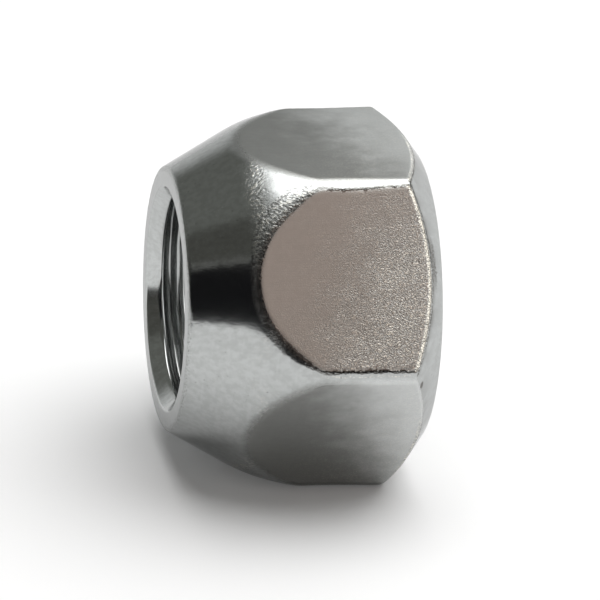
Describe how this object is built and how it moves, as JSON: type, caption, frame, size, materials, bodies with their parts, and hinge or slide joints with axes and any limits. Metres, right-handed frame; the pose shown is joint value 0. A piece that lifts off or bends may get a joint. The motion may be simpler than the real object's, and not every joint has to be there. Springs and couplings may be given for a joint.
{
  "type": "lug nut",
  "caption": "Open-ended hexagonal lug nut with a tapped through hole, a conical seat at one end and a chamfered wrench end.",
  "frame": {"origin": "on the thread axis, halfway along the nut", "axes": "+X along the thread axis towards the wrench end, so the conical seat faces -X; -Z is the normal of the hexagon flat that the nut lies on"},
  "size_m": [0.0142, 0.0216, 0.019],
  "materials": {
    "plated_steel": "bright plating over cold-formed steel: polished seat cone, satin flats with forging grain"
  },
  "bodies": {
    "root": {"lug_nut": "plated_steel"}
  },
  "joints": []
}
